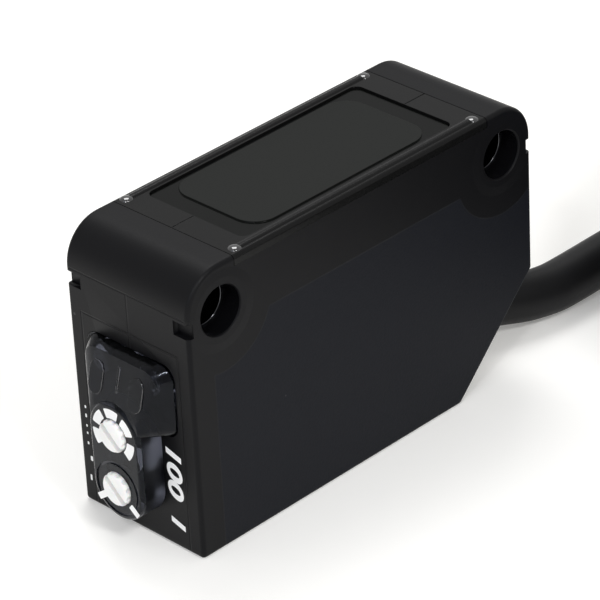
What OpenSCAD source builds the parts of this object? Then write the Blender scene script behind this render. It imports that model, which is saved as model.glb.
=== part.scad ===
// Compact photoelectric sensor with a fixed cable, lying on its back.
// X runs along the length (adjusters at -X, cable at +X), Z points out of the lens face.
// The origin is on the back face, midway between the two mounting holes.

/* [Housing] */
// Length of the housing
body_l = 31; // [30:0.5:36]
// Width of the housing
body_w = 10.8; // [10.4:0.2:14]
// Depth from the back face to the lens face
body_h = 20; // [19.6:0.2:26]
// Wall thickness
wall = 1.2; // [1:0.05:1.3]
// Radius of the two lens-side corners
front_r = 2.8; // [1.5:0.1:3.2]
// Rounding of the outer edges
edge_r = 0.3; // [0.2:0.05:0.5]
// Size of the cut-off corner at the cable
chamfer = 7.2; // [6.6:0.2:8]
// Solid thickness behind the cut-off corner, which grips the cable bush
corner_t = 4.2; // [3:0.2:5]

/* [Mounting holes] */
// Distance between the two cross holes
hole_pitch = 25.4; // [25:0.1:26]
// Diameter of the cross holes
hole_d = 3.3; // [3:0.1:3.6]
// Depth of the hole axes below the lens face
hole_setback = 3.2; // [2.8:0.1:3.4]
// Countersink at the mouths of the cross holes
hole_break = 0.1; // [0.05:0.05:0.3]

/* [Clip notches] */
// Height of the notches
notch_h = 1; // [0.8:0.05:1.4]
// Length of the notches across the width
notch_w = 1.3; // [1:0.1:2]
// Depth of the notches
notch_d = 0.45; // [0.3:0.05:0.6]
// Depth of the notches' middle below the lens face
notch_setback = 3.6; // [3.4:0.1:4.5]

/* [Lens face] */
// Length of the front cover
cover_l = 22.8; // [22:0.1:23.4]
// Thickness of the front cover
cover_t = 0.7; // [0.5:0.05:0.9]
// Length of the opening in the front cover
opening_l = 18.9; // [18.8:0.1:19.6]
// Corner radius of that opening
opening_r = 0.6; // [0.3:0.05:0.9]
// Width of the rails beside the opening
rail_w = 1.1; // [0.9:0.05:1.2]
// Height of the rails' crown over the front cover
rail_crown = 0.12; // [0.05:0.01:0.2]
// Thickness of the window's flange
flange_t = 0.5; // [0.4:0.05:0.7]
// How far the window's face stands below the front cover
window_drop = 0.15; // [0.12:0.01:0.3]
// Length of the window's raised pad
pad_l = 15.9; // [14:0.1:16.5]
// Border between the pad and the window's long edges
pad_border = 0.35; // [0.2:0.05:0.6]
// Corner radius of the pad
pad_r = 1.7; // [1:0.1:2.2]
// Height of the pad
pad_t = 0.1; // [0.06:0.01:0.12]
// Thickness of the front seal
seal_t = 0.3; // [0.2:0.05:0.4]

/* [Optics] */
// Height of the optics block
optics_h = 4.5; // [4.2:0.1:4.8]
// Length of the bay that holds the optics block
bay_l = 18.4; // [17.8:0.1:18.8]
// Distance between the two lens axes
lens_pitch = 9.2; // [8.6:0.1:9.6]
// Diameter of the lenses
lens_d = 6.6; // [6:0.1:6.8]
// Thickness of the lens rims
lens_rim = 0.6; // [0.4:0.05:0.8]
// Crown of the lenses
lens_crown = 0.6; // [0.3:0.05:0.7]
// Diameter of the emitter
emitter_d = 2.4; // [2:0.1:2.8]
// Side of the photodiode
diode_side = 2.2; // [1.8:0.1:2.4]
// Height of the photodiode
diode_h = 0.9; // [0.7:0.05:1.1]
// Sheet thickness of the photodiode's shield
shield_t = 0.2; // [0.15:0.05:0.3]

/* [Adjuster end] */
// Height of the sensitivity knob's axis over the back face
sens_z = 7.9; // [7.8:0.1:8.2]
// Height of the mode knob's axis over the back face
mode_z = 4; // [3.7:0.1:4.1]
// Diameter of the sensitivity knob
sens_d = 2.2; // [2:0.1:2.5]
// Diameter of the mode knob
mode_d = 2.3; // [2:0.1:2.5]
// Height of the knob heads
knob_h = 1.2; // [1:0.05:1.3]
// Width of the screwdriver slots
slot_w = 0.45; // [0.35:0.05:0.55]
// Depth of the screwdriver slots
slot_d = 0.5; // [0.3:0.05:0.7]
// Diameter of the knob stems
stem_d = 1.4; // [1.3:0.05:1.5]
// How far the boss round the knobs stands out
boss_d = 1.9; // [1.8:0.05:2.1]
// Radius of the boss round the knobs
boss_r = 2.25; // [2.1:0.05:2.4]
// How far the lamp head stands out at its top
head_d = 0.9; // [0.6:0.05:1.2]
// Width of the lamp head at its foot
head_w = 7.7; // [7.4:0.1:8]
// Height of the lamp head's lower edge over the back face
head_low = 8.2; // [7.8:0.1:8.3]
// Depth of the lamp head's upper edge below the lens face
head_setback = 6.7; // [6.6:0.1:7]
// Corner radius of the lamp head
head_r = 0.9; // [0.6:0.1:1.2]
// Thickness of the clear cover's plate
plate_t = 0.5; // [0.4:0.05:0.55]
// Thickness of the seal under the clear cover
cover_seal_t = 0.2; // [0.15:0.05:0.25]
// Width of the ledge that carries that seal
ledge = 0.5; // [0.4:0.05:0.6]
// Distance between the two lamps
lamp_pitch = 3.9; // [3.5:0.1:4.2]
// Depth of the lamps below the lens face
lamp_setback = 8.1; // [8:0.1:8.3]
// Diameter of the light guides
guide_d = 1.5; // [1.2:0.1:1.6]
// Thickness of the O-rings
o_ring_t = 0.4; // [0.3:0.02:0.44]

/* [Electronics] */
// Thickness of the boards
board_t = 0.8; // [0.6:0.1:1]
// Diameter of the trimmer and of the mode switch
trimmer_d = 3.6; // [3.4:0.1:3.7]
// Depth of the trimmer and of the mode switch
trimmer_h = 2.1; // [2:0.1:2.5]
// Diameter of their rotors
rotor_d = 2.8; // [2.4:0.1:3]
// Thickness of their rotors
rotor_t = 1; // [0.9:0.05:1.1]
// Gap from the main board to the side wall
board_inset = 1.2; // [1:0.1:1.4]
// Side of the signal chip
chip_side = 5; // [4:0.2:5.4]
// Height of the signal chip
chip_h = 1.1; // [0.8:0.1:1.3]

/* [Cable] */
// Diameter of the cable
cable_d = 3.5; // [3.3:0.05:3.6]
// Whole length of the cable
cable_length = 2000; // [1600:50:2400]
// Height of the cable's axis where it leaves the case
exit_z = 2.6; // [2.6:0.05:3]
// Wall of the cable bush
bush_wall = 0.42; // [0.35:0.01:0.45]
// Length of the cable bush
bush_l = 8.4; // [8:0.1:9]
// Diameter of the insulated cores
core_d = 1.1; // [0.9:0.05:1.15]
// Length of the cores outside the jacket at the free end
core_tail = 30; // [20:1:36]
// Length of the bare strands at the cores' ends
strand_l = 5; // [3:0.5:8]
// Mean diameter of the coil
coil_mean_d = 42; // [40:0.5:44]
// Gap between neighbouring turns of the coil
turn_gap = 0.5; // [0.45:0.05:0.8]
// Thickness of the tie round the coil
tie_t = 0.8; // [0.6:0.1:1]
// Width of the tie round the coil
tie_w = 3.6; // [2.5:0.1:5]

/* [Hidden] */
$fn = 48;

// Clearances
fit = 0.03;
run = 0.05;
loose = 0.15;
over = 0.5;

// Housing levels
half_l = body_l / 2;
half_w = body_w / 2;
cavity_x = half_l - wall;
cavity_y = half_w - wall;
seat_z = body_h - cover_t;
sill_z = seat_z - flange_t - seal_t;
block_top = sill_z - loose;
block_low = block_top - optics_h;
ceiling_z = block_low - loose;
optics_board_low = block_low - board_t;
hole_z = body_h - hole_setback;
hole_r = hole_d / 2;
bay_step = 0.3;
bay_y = cavity_y - bay_step;
chamfer_x = half_l - chamfer;

// Lens face
rail_y = half_w - rail_w;
rail_r = 0.45 * rail_w;
rail_mid = rail_y + rail_r - run;
rail_setback = 0.25;
window_l = opening_l - 2 * run;
window_w = 2 * rail_y - 2 * run;
window_r = opening_r - run;
flange_lap = 0.2;
seal_lip = 0.45;
flange_l = max(opening_l + 2 * flange_lap, bay_l + 2 * seal_lip);
flange_w = 2 * rail_y + 1.5 * flange_lap;

// Optics
emitter_x = lens_pitch / 2;
receiver_x = -lens_pitch / 2;
lens_lap = 0.3;
lens_low = block_top - lens_rim - lens_crown;
iris_r = 0.9;
shield_w = diode_side + 2 * (shield_t + run);
shield_h = diode_h + shield_t + run;
emitter_h = 0.6;

// Adjuster end, measured outwards from the end face
plate_back = -plate_t;
ledge_face = plate_back - cover_seal_t;
head_top = body_h - head_setback;
head_mid = (head_low + head_top) / 2;
lamp_z = body_h - lamp_setback;
well_floor = 0.2;
foot_t = 0.05;
knob_stand = 0.3;
knob_top = boss_d + knob_stand;
knob_low = knob_top - knob_h;
knob_edge = 0.12;
trimmer_front = -wall - 2 * loose;
trimmer_back = trimmer_front - trimmer_h;
rotor_front = trimmer_front - 2 * run;
rotor_back = rotor_front - rotor_t;
blade_t = 0.5;
blade_deep = 0.7;
sens_rest = -40;
mode_rest = -30;
lamp_h = 0.8;

// Boards
main_y = cavity_y - board_inset;
main_face = main_y - board_t;
adjuster_x = -half_l - trimmer_back;
main_low = adjuster_x + board_t + loose;
main_high = bay_l / 2 + bay_step;
core_gap = 0.05;
pin_side = 0.4;
pin_l = 2;
pins = 4;
chip_gap = 0.6;
chip_x = main_low + pin_l + chip_gap + chip_side / 2;
chip_drop = 5.85;
chip_z = optics_board_low - chip_drop;
parts_x = chip_x + chip_side / 2 + 2 * chip_gap;
parts_drop = 1.65;
parts_z = optics_board_low - parts_drop;
chip_part = [1.6, 0.8, 0.8];
transistor = [2.9, 1.4, 1.1];
lamp_size = [1.6, 1.2];

// Cable
cable_r = cable_d / 2;
core_r = core_d / 2;
bush_r = cable_r + bush_wall;
bush_proud = 0.4;
bush_out = chamfer_x + exit_z + bush_r + bush_proud * sqrt(2);
bush_in = bush_out - bush_l;
bend_x = chamfer_x + exit_z + cable_r;
rib_h = 0.12;
rib_w = 0.6;
rib_pitch = 1.4;
turn_pitch = cable_d + turn_gap;
tie_gap = 0.1;
coil_low = tie_t + tie_gap + cable_r;
coil_layers = 4;
tail_start = 0.3;
tail_slope = 14;
core_passage = 2.5;
lead_y = -2.1;
lead_l = 31.4;
coil_start_x = bend_x + lead_l;
// The lead's bend: distances from its start, and how much of the way to the ground is done there
lead_bend = [
    [1.6, 0.06], [3.2, 0.22], [4.8, 0.5], [6.4, 0.78], [8, 0.94], [9.6, 1], [14, 1]
];
lead_lift = [12, 7.5];
lead_route = concat(
    [for (x = [bush_in, (bush_in + bend_x) / 2, bend_x]) [x, 0, exit_z]],
    [for (b = lead_bend) [bend_x + b[0], lead_y * b[1], exit_z + (cable_r - exit_z) * b[1]]],
    [[coil_start_x - lead_lift[0], lead_y, cable_r + 2 * core_gap]],
    [for (x = [lead_lift[1], cable_d]) [coil_start_x - x, lead_y, coil_low]]
);
function route_length(p, i = 0) =
    i >= len(p) - 1 ? 0 : norm(p[i + 1] - p[i]) + route_length(p, i + 1);
coil_length = cable_length - route_length(lead_route) - cable_d;
turns = coil_length / (PI * coil_mean_d);
layer_turns = turns / coil_layers;
coil_out = coil_mean_d / 2 + turn_pitch * layer_turns / 2;
coil_in = coil_mean_d / 2 - turn_pitch * layer_turns / 2;
coil_centre = [coil_start_x, lead_y - coil_out];
coil_rings = 24;
coil_steps = floor(turns * coil_rings);
coil_end = coil_steps / coil_rings;
tie_angle = -120;

// Shapes used more than once

module rounded_rect(l, w, r) {
    square([l - 2 * r, w], center = true);
    square([l, w - 2 * r], center = true);
    for (sx = [-1, 1], sy = [-1, 1])
        translate([sx * (l / 2 - r), sy * (w / 2 - r)]) circle(r);
}

// Draws a flat outline on the lens face's plane and raises it from one level to another
module up_from(low, high) {
    translate([0, 0, low]) linear_extrude(high - low) children();
}

// Local frame of the adjuster end: x to the right seen from outside, y up, z outwards
module on_end(out = 0) {
    translate([-half_l - out, 0, 0]) rotate([90, 0, -90]) children();
}

module on_end_from(low, high) {
    on_end(low) linear_extrude(high - low) children();
}

// Outline in the X-Z plane, as wide as asked for
module across(w) {
    rotate([90, 0, 0]) linear_extrude(w, center = true) children();
}

module along_x(x, y, z) {
    translate([x, y, z]) rotate([0, 90, 0]) children();
}

// Round rod through points, with ball joints at the bends
module rod_along(points, r) {
    for (i = [0 : len(points) - 2]) {
        span = points[i + 1] - points[i];
        tilt = acos(span[2] / norm(span));
        turn = atan2(span[1], span[0]);
        translate(points[i]) rotate([0, tilt, turn]) cylinder(norm(span), r, r, $fn = 24);
    }
    for (i = [1 : len(points) - 2])
        translate(points[i]) sphere(r, $fn = 24);
}

// Tube swept along points: each ring stands square to the path there
function path_dir(p, i) =
    let (a = p[max(i - 1, 0)], b = p[min(i + 1, len(p) - 1)]) (b - a) / norm(b - a);
function ring(p, i, r, sides) =
    let (t = path_dir(p, i), s = cross(t, [0, 0, 1]) / norm(cross(t, [0, 0, 1])), u = cross(s, t))
    [for (k = [0 : sides - 1])
        let (a = 360 * (k + 0.5) / sides) p[i] + r * (cos(a) * s + sin(a) * u)];

module swept_tube(p, r, sides) {
    rings = len(p);
    points = [for (i = [0 : rings - 1]) each ring(p, i, r, sides)];
    skin = [
        for (i = [0 : rings - 2], k = [0 : sides - 1])
            let (a = i * sides + k, b = i * sides + (k + 1) % sides)
            each [[a, b, a + sides], [b, b + sides, a + sides]]
    ];
    near_cap = [for (k = [1 : sides - 2]) [0, k + 1, k]];
    last = (rings - 1) * sides;
    far_cap = [for (k = [1 : sides - 2]) [last, last + k, last + k + 1]];
    polyhedron(points, concat(skin, near_cap, far_cap), convexity = 10);
}

// Housing

module case_corner(x, z) {
    for (s = [-1, 1])
        translate([x, s * (half_w - edge_r), z]) sphere(edge_r, $fn = 32);
}

module case_lens_corner(s) {
    translate([s * (half_l - front_r), 0, body_h - front_r]) rotate([90, 0, 0]) {
        cylinder(body_w - 2 * edge_r, front_r, front_r, center = true, $fn = 64);
        cylinder(body_w, front_r - edge_r, front_r - edge_r, center = true, $fn = 64);
        for (e = [-1, 1])
            translate([0, 0, e * (half_w - edge_r)])
                rotate_extrude($fn = 64) translate([front_r - edge_r, 0]) circle(edge_r, $fn = 32);
    }
}

module case_form() {
    hull() {
        case_lens_corner(-1);
        case_lens_corner(1);
        case_corner(-half_l + edge_r, edge_r);
        case_corner(chamfer_x - edge_r * tan(22.5), edge_r);
        case_corner(half_l - edge_r, chamfer + edge_r * tan(22.5));
    }
}

// Inside outline seen from the side: the board space, without the solid cable corner
module cavity_outline(inset = 0) {
    slant = chamfer_x - corner_t * sqrt(2) - inset;
    low = wall + inset;
    high = ceiling_z - inset;
    side = cavity_x - inset;
    rise = min(side - slant, high);
    polygon([[-side, low], [slant + low, low], [slant + rise, rise], [side, high], [-side, high]]);
}

module case() {
    color([0.1, 0.1, 0.11])
    difference() {
        case_form();
        across(2 * cavity_y) cavity_outline();
        up_from(optics_board_low - over, body_h + over) square([bay_l, 2 * bay_y], center = true);
        up_from(sill_z, body_h + over)
            square([flange_l + 2 * fit, flange_w + 2 * fit], center = true);
        up_from(seat_z, body_h + over) square([cover_l, body_w + 2 * over], center = true);
        mounting_holes();
        clip_notches();
        on_end_from(ledge_face, boss_d) cover_outline(fit);
        on_end_from(-wall - over, boss_d) cover_outline(-ledge);
        bush_form(fit);
        along_x(bush_in - core_passage, 0, exit_z)
            cylinder(core_passage + over, cable_r, cable_r);
    }
}

module mounting_holes() {
    for (s = [-1, 1])
        translate([s * hole_pitch / 2, 0, hole_z]) rotate([90, 0, 0]) {
            cylinder(body_w + 2 * over, hole_r, hole_r, center = true);
            for (e = [0, 1])
                rotate([180 * e, 0, 0]) translate([0, 0, half_w - hole_break])
                    cylinder(hole_break + over, hole_r, hole_r + hole_break + over);
        }
}

module clip_notches() {
    for (sx = [-1, 1], sy = [-1, 1])
        translate([sx * half_l, sy * half_w, body_h - notch_setback])
            cube([2 * notch_d, 2 * notch_w, notch_h], center = true);
}

// Lens face

module front_cover() {
    color([0.13, 0.13, 0.14])
    difference() {
        union() {
            rotate([90, 0, 90]) linear_extrude(cover_l - 2 * run, center = true) cover_section();
            for (s = [-1, 1]) front_rail(s);
        }
        up_from(seat_z - over, body_h + over) rounded_rect(opening_l, 2 * rail_y, opening_r);
    }
}

// Cross-section of the front cover, with the rounded edges of the housing
module cover_section() {
    top_y = half_w - edge_r;
    translate([-top_y, seat_z]) square([2 * top_y, cover_t]);
    translate([-half_w, seat_z]) square([body_w, cover_t - edge_r]);
    for (s = [-1, 1]) translate([s * top_y, body_h - edge_r]) circle(edge_r);
}

// Rail with a round back and ball ends, turned as one piece
module front_rail(s) {
    straight = cover_l - 2 * (rail_r + run + rail_setback);
    intersection() {
        along_x(0, s * rail_mid, body_h + rail_crown - rail_r)
            rotate_extrude() intersection() {
                union() {
                    square([2 * rail_r, straight], center = true);
                    for (e = [-1, 1]) translate([0, e * straight / 2]) circle(rail_r);
                }
                translate([0, -cover_l]) square(2 * cover_l);
            }
        up_from(seat_z, body_h + over) square([cover_l, body_w + over], center = true);
    }
}

module window() {
    face = body_h - window_drop;
    color([0.1, 0.11, 0.11])
    union() {
        up_from(sill_z + seal_t, seat_z - fit) square([flange_l, flange_w], center = true);
        up_from(seat_z - 2 * fit, face) rounded_rect(window_l, window_w, window_r);
        up_from(face - fit, face + pad_t) rounded_rect(pad_l, window_w - 2 * pad_border, pad_r);
    }
}

module front_seal() {
    color([0.2, 0.2, 0.2])
    up_from(sill_z, sill_z + seal_t)
        difference() {
            square([flange_l, flange_w], center = true);
            square([bay_l, 2 * bay_y], center = true);
        }
}

// Optics

module optics_block() {
    lens_r = lens_d / 2 + fit;
    channel_r = lens_d / 2 - lens_lap;
    pocket_h = shield_h + loose;
    color([0.08, 0.08, 0.08])
    difference() {
        up_from(block_low, block_top)
            square([bay_l - 2 * loose, 2 * bay_y - 2 * loose], center = true);
        for (x = [receiver_x, emitter_x]) {
            translate([x, 0, lens_low]) cylinder(block_top, lens_r, lens_r);
            translate([x, 0, block_low + pocket_h - fit])
                cylinder(lens_low - block_low - pocket_h + 2 * fit, iris_r, channel_r);
        }
        translate([emitter_x, 0, block_low - over])
            cylinder(pocket_h + over, emitter_d / 2 + loose, emitter_d / 2 + loose);
        up_from(block_low - over, block_low + pocket_h)
            translate([receiver_x, 0]) square(shield_w + 2 * loose, center = true);
    }
}

module lens(x) {
    r = lens_d / 2;
    ball = (r * r + lens_crown * lens_crown) / (2 * lens_crown);
    translate([x, 0, lens_low]) {
        cylinder(lens_rim, r, r);
        intersection() {
            translate([0, 0, lens_rim + lens_crown - ball]) sphere(ball, $fn = 96);
            translate([0, 0, lens_rim / 2]) cylinder(lens_crown + lens_rim, r, r);
        }
    }
}

module emitter_lens() {
    color([0.75, 0.8, 0.82]) lens(emitter_x);
}

module receiver_lens() {
    color([0.75, 0.8, 0.82]) lens(receiver_x);
}

module emitter_led() {
    dome = emitter_d / 3.4;
    color([0.85, 0.55, 0.5])
    translate([emitter_x, 0, block_low]) {
        cylinder(emitter_h, emitter_d / 2, emitter_d / 2);
        intersection() {
            translate([0, 0, emitter_h - dome / 2]) sphere(dome);
            translate([0, 0, emitter_h / 2]) cylinder(emitter_h + dome, emitter_d / 2, emitter_d / 2);
        }
    }
}

module receiver_photodiode() {
    color([0.15, 0.15, 0.2])
    up_from(block_low, block_low + diode_h)
        translate([receiver_x, 0]) square(diode_side, center = true);
}

module receiver_shield() {
    color([0.75, 0.75, 0.72])
    difference() {
        up_from(block_low, block_low + shield_h)
            translate([receiver_x, 0]) square(shield_w, center = true);
        up_from(block_low - over, block_low + shield_h - shield_t)
            translate([receiver_x, 0]) square(diode_side + 2 * run, center = true);
        translate([receiver_x, 0, block_low])
            cylinder(shield_h + over, iris_r - loose, iris_r - loose);
    }
}

module optics_board() {
    color([0.1, 0.35, 0.2])
    up_from(optics_board_low, block_low)
        square([bay_l - 2 * loose, 2 * bay_y - 2 * loose], center = true);
}

// Electronics

module main_board() {
    color([0.1, 0.35, 0.2])
    translate([0, main_y - board_t / 2, 0]) across(board_t)
        intersection() {
            cavity_outline(2 * loose);
            translate([main_low, 0])
                square([main_high - main_low, optics_board_low - 2 * loose]);
        }
}

// Box soldered to the main board, given its middle in X and Z and its length, height and thickness
module on_main_board(x, z, size) {
    translate([x, main_face - size[2] / 2, z]) cube([size[0], size[2], size[1]], center = true);
}

module signal_ic() {
    color([0.12, 0.12, 0.12]) on_main_board(chip_x, chip_z, [chip_side, chip_side, chip_h]);
}

module output_transistors() {
    color([0.14, 0.14, 0.14])
    for (s = [-1, 1])
        on_main_board(parts_x + transistor[0] / 2, chip_z + s * 1.3 * transistor[1], transistor);
}

module chip_parts() {
    color([0.6, 0.5, 0.4])
    for (i = [0 : 3])
        on_main_board(parts_x + 1.5 * chip_part[0] * i, parts_z, chip_part);
}

// Square pins that join the main board to the two smaller boards
module link_pins() {
    y = main_face - core_gap - pin_side / 2;
    color([0.85, 0.7, 0.3])
    for (i = [0 : pins - 1]) {
        translate([main_low + pin_l / 2 + 3 * pin_side * i, y, optics_board_low - pin_l / 2])
            cube([pin_side, pin_side, pin_l], center = true);
        translate([adjuster_x + board_t + pin_l / 2, y, exit_z + 4 * pin_side * i])
            cube([pin_l, pin_side, pin_side], center = true);
    }
}

module adjuster_board() {
    color([0.1, 0.35, 0.2])
    translate([adjuster_x, -cavity_y + loose, wall + loose])
        cube([board_t, 2 * (cavity_y - loose), ceiling_z - wall - 2 * loose]);
}

module trimmer_housing(z) {
    on_end() translate([0, z, 0])
        difference() {
            up_from(trimmer_back, trimmer_front) circle(trimmer_d / 2);
            up_from(rotor_back - run, trimmer_front + over) circle(rotor_d / 2 + run);
        }
}

module trimmer_body() {
    color([0.25, 0.35, 0.6]) trimmer_housing(sens_z);
}

module switch_body() {
    color([0.3, 0.3, 0.32]) trimmer_housing(mode_z);
}

// Rotor with a slot that takes the knob's blade
module rotor(z, angle) {
    on_end() translate([0, z, 0]) rotate([0, 0, angle])
        difference() {
            up_from(rotor_back, rotor_front) circle(rotor_d / 2);
            up_from(rotor_front - blade_deep - fit, rotor_front + over)
                square([stem_d + 2 * fit, blade_t + 2 * fit], center = true);
        }
}

module trimmer_rotor() {
    color([0.9, 0.9, 0.88]) rotor(sens_z, sens_rest);
}

module switch_rotor() {
    color([0.9, 0.9, 0.88]) rotor(mode_z, mode_rest);
}

module lamp(s) {
    on_end_from(trimmer_back, trimmer_back + lamp_h)
        translate([s * lamp_pitch / 2, lamp_z]) square(lamp_size, center = true);
}

module operation_led() {
    color([0.95, 0.6, 0.2]) lamp(-1);
}

module stability_led() {
    color([0.4, 0.8, 0.3]) lamp(1);
}

module light_guides() {
    color([0.85, 0.9, 0.9])
    for (s = [-1, 1])
        on_end_from(trimmer_back + lamp_h, well_floor - run)
            translate([s * lamp_pitch / 2, lamp_z]) circle(guide_d / 2);
}

// Adjuster end

// Outline of the clear cover on the end face, grown all round
module cover_outline(grow = 0) {
    translate([0, head_mid])
        rounded_rect(head_w + 2 * grow, head_top - head_low + 2 * grow, head_r + grow);
    boss_outline(boss_r + grow);
}

module boss_outline(r) {
    translate([-r, mode_z]) square([2 * r, sens_z - mode_z]);
    for (z = [mode_z, sens_z]) translate([0, z]) circle(r);
}

// Lamp head: a foot on the end face that leans back from the boss to its upper edge
module head_form() {
    slim = 0.1;
    draft = 0.6;
    upper = [head_w - 1.6, 1];
    lower = [2 * boss_r - 0.3, 1.2];
    hull() {
        linear_extrude(slim) translate([0, head_mid])
            rounded_rect(head_w, head_top - head_low, head_r, $fn = 32);
        up_from(head_d - slim, head_d) translate([0, head_top - draft - upper[1] / 2])
            rounded_rect(upper[0], upper[1], head_r / 2, $fn = 32);
        up_from(boss_d - 2 * slim, boss_d - slim) translate([0, sens_z + boss_r - lower[1]])
            rounded_rect(lower[0], lower[1], head_r / 2, $fn = 32);
    }
}

module indicator_cover() {
    color([0.8, 0.85, 0.88, 0.45])
    on_end() difference() {
        union() {
            up_from(plate_back, foot_t) cover_outline();
            head_form();
            up_from(0, boss_d) boss_outline(boss_r);
        }
        knob_well(sens_z, sens_d);
        knob_well(mode_z, mode_d);
        for (s = [-1, 1])
            up_from(plate_back - over, well_floor)
                translate([s * lamp_pitch / 2, lamp_z]) circle(guide_d / 2 + run);
    }
}

module knob_well(z, d) {
    up_from(well_floor, boss_d + over) translate([0, z]) circle(d / 2 + run);
    up_from(plate_back - over, boss_d) translate([0, z]) circle(stem_d / 2 + run);
}

module cover_seal() {
    color([0.15, 0.15, 0.15])
    on_end_from(ledge_face, plate_back) difference() {
        cover_outline();
        cover_outline(-ledge);
    }
}

// Knob with a screwdriver slot, a stem and a blade for the rotor
module knob(z, d, angle) {
    on_end() translate([0, z, 0]) rotate([0, 0, angle])
        difference() {
            union() {
                up_from(knob_low, knob_top - knob_edge) circle(d / 2);
                translate([0, 0, knob_top - knob_edge])
                    cylinder(knob_edge, d / 2, d / 2 - knob_edge);
                up_from(rotor_front + fit, knob_low + fit) circle(stem_d / 2);
                up_from(rotor_front - blade_deep, rotor_front + 2 * fit) intersection() {
                    circle(stem_d / 2);
                    square([stem_d, blade_t], center = true);
                }
            }
            up_from(knob_top - slot_d, knob_top + over) square([d + over, slot_w], center = true);
        }
}

module sensitivity_knob() {
    color([0.93, 0.93, 0.92]) knob(sens_z, sens_d, sens_rest);
}

module mode_knob() {
    color([0.93, 0.93, 0.92]) knob(mode_z, mode_d, mode_rest);
}

module o_ring(z) {
    r = o_ring_t / 2;
    on_end() translate([0, z, well_floor + r])
        rotate_extrude() translate([stem_d / 2 + run + r, 0]) circle(r, $fn = 24);
}

module sensitivity_o_ring() {
    color([0.1, 0.1, 0.1]) o_ring(sens_z);
}

module mode_o_ring() {
    color([0.1, 0.1, 0.1]) o_ring(mode_z);
}

// Cable

// Bush round the cable, with two holding ribs, before it is cut along the slanted corner
module bush_form(grow = 0) {
    along_x(bush_in - grow, 0, exit_z) {
        cylinder(bush_l + over, bush_r + grow, bush_r + grow);
        for (i = [1, 2])
            translate([0, 0, rib_pitch * i - grow])
                cylinder(rib_w + 2 * grow, bush_r + rib_h + grow, bush_r + rib_h + grow);
    }
}

module cable_bush() {
    room = 2 * bush_l;
    color([0.07, 0.07, 0.07])
    difference() {
        bush_form();
        along_x(bush_in - over, 0, exit_z) cylinder(room, cable_r + fit, cable_r + fit);
        translate([chamfer_x, 0, 0]) rotate([0, 45, 0])
            translate([bush_proud, -room / 2, -room / 2]) cube(room);
    }
}

// One core inside the case: out of the jacket, up and over to the main board
module inner_core(k) {
    y = k * (core_d + core_gap);
    x = bush_in - 1.4 - 2 * core_gap * (k + 1);
    rise = exit_z + 1.4 + (core_d + 4 * core_gap) * (1 - k);
    rod_along([
        [bush_in, y, exit_z], [x, y, exit_z], [x, y, rise], [x, main_face - core_gap, rise]
    ], core_r);
}

// Arc that a core follows beyond the end of the jacket, lying on the coil
function tail_point(k, run_on) =
    let (
        r = coil_out + k * (core_d + 2 * core_gap),
        a = 90 - 360 * coil_end - run_on / coil_out * 180 / PI,
        rest = coil_low + 2 * turn_pitch + cable_r + core_r + loose,
        top = coil_low + 3 * turn_pitch,
        z = top + (rest - top) * ease(run_on / tail_slope)
    )
    [coil_centre[0] + r * cos(a), coil_centre[1] + r * sin(a), z];

module tail_core(k) {
    steps = 8;
    swept_tube([for (i = [0 : steps]) tail_point(k, tail_start + core_tail * i / steps)], core_r, 6);
}

module brown_core() {
    color([0.4, 0.22, 0.12]) union() {
        inner_core(-1);
        tail_core(-1);
    }
}

module blue_core() {
    color([0.15, 0.3, 0.65]) union() {
        inner_core(0);
        tail_core(0);
    }
}

module black_core() {
    color([0.06, 0.06, 0.06]) union() {
        inner_core(1);
        tail_core(1);
    }
}

module core_strands() {
    from = tail_start + core_tail;
    strand_r = 0.6 * core_r;
    color([0.8, 0.78, 0.74])
    for (k = [-1 : 1])
        swept_tube([for (i = [0 : 2]) tail_point(k, from + strand_l * i / 2)], strand_r, 6);
}

module cable_lead() {
    color([0.07, 0.07, 0.07]) swept_tube(lead_route, cable_r, 8);
}

// Coil: spirals in and out again, and climbs a layer in the half turn where the spiral reverses
function ease(x) = let (f = min(max(x, 0), 1)) f * f * (3 - 2 * f);
function coil_point(t) =
    let (
        layer = min(floor(t / layer_turns), coil_layers - 1),
        f = t / layer_turns - layer,
        inward = layer % 2 == 0 ? f : 1 - f,
        r = coil_out - (coil_out - coil_in) * inward,
        climbs = [for (k = [1 : coil_layers - 1]) ease((t - k * layer_turns + 0.25) / 0.5)],
        z = coil_low + turn_pitch * (climbs * [for (c = climbs) 1]),
        a = 90 - 360 * t
    )
    [coil_centre[0] + r * cos(a), coil_centre[1] + r * sin(a), z];
coil_path = concat(
    [[coil_start_x - cable_d, lead_y, coil_low]],
    [for (i = [0 : coil_steps]) coil_point(i / coil_rings)]
);
coil_gap = min([
    for (i = [1 : len(coil_path) - 1], j = [i + coil_rings / 2 : len(coil_path) - 1])
        norm(coil_path[i] - coil_path[j])
]) - cable_d;

module cable_coil() {
    echo(turns = turns, coil_least_gap = coil_gap);
    color([0.07, 0.07, 0.07]) swept_tube(coil_path, cable_r, 6);
}

// Tie: a flat band round all the turns, with its locking head on top
module coil_tie() {
    inner_l = coil_out - coil_in + cable_d + 2 * loose;
    inner_h = (coil_layers - 1) * turn_pitch + cable_d + tie_gap + loose;
    corner = 1.2;
    lock = [5, 2.2, tie_w + 1.2];
    color([0.08, 0.08, 0.08])
    translate([coil_centre[0], coil_centre[1], 0]) rotate([90, 0, tie_angle])
        translate([coil_mean_d / 2, tie_t + inner_h / 2, -tie_w / 2]) {
            linear_extrude(tie_w) difference() {
                rounded_rect(inner_l + 2 * tie_t, inner_h + 2 * tie_t, corner + tie_t);
                rounded_rect(inner_l, inner_h, corner);
            }
            translate([0, inner_h / 2 + tie_t - fit + lock[1] / 2, tie_w / 2])
                cube(lock, center = true);
        }
}

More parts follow.
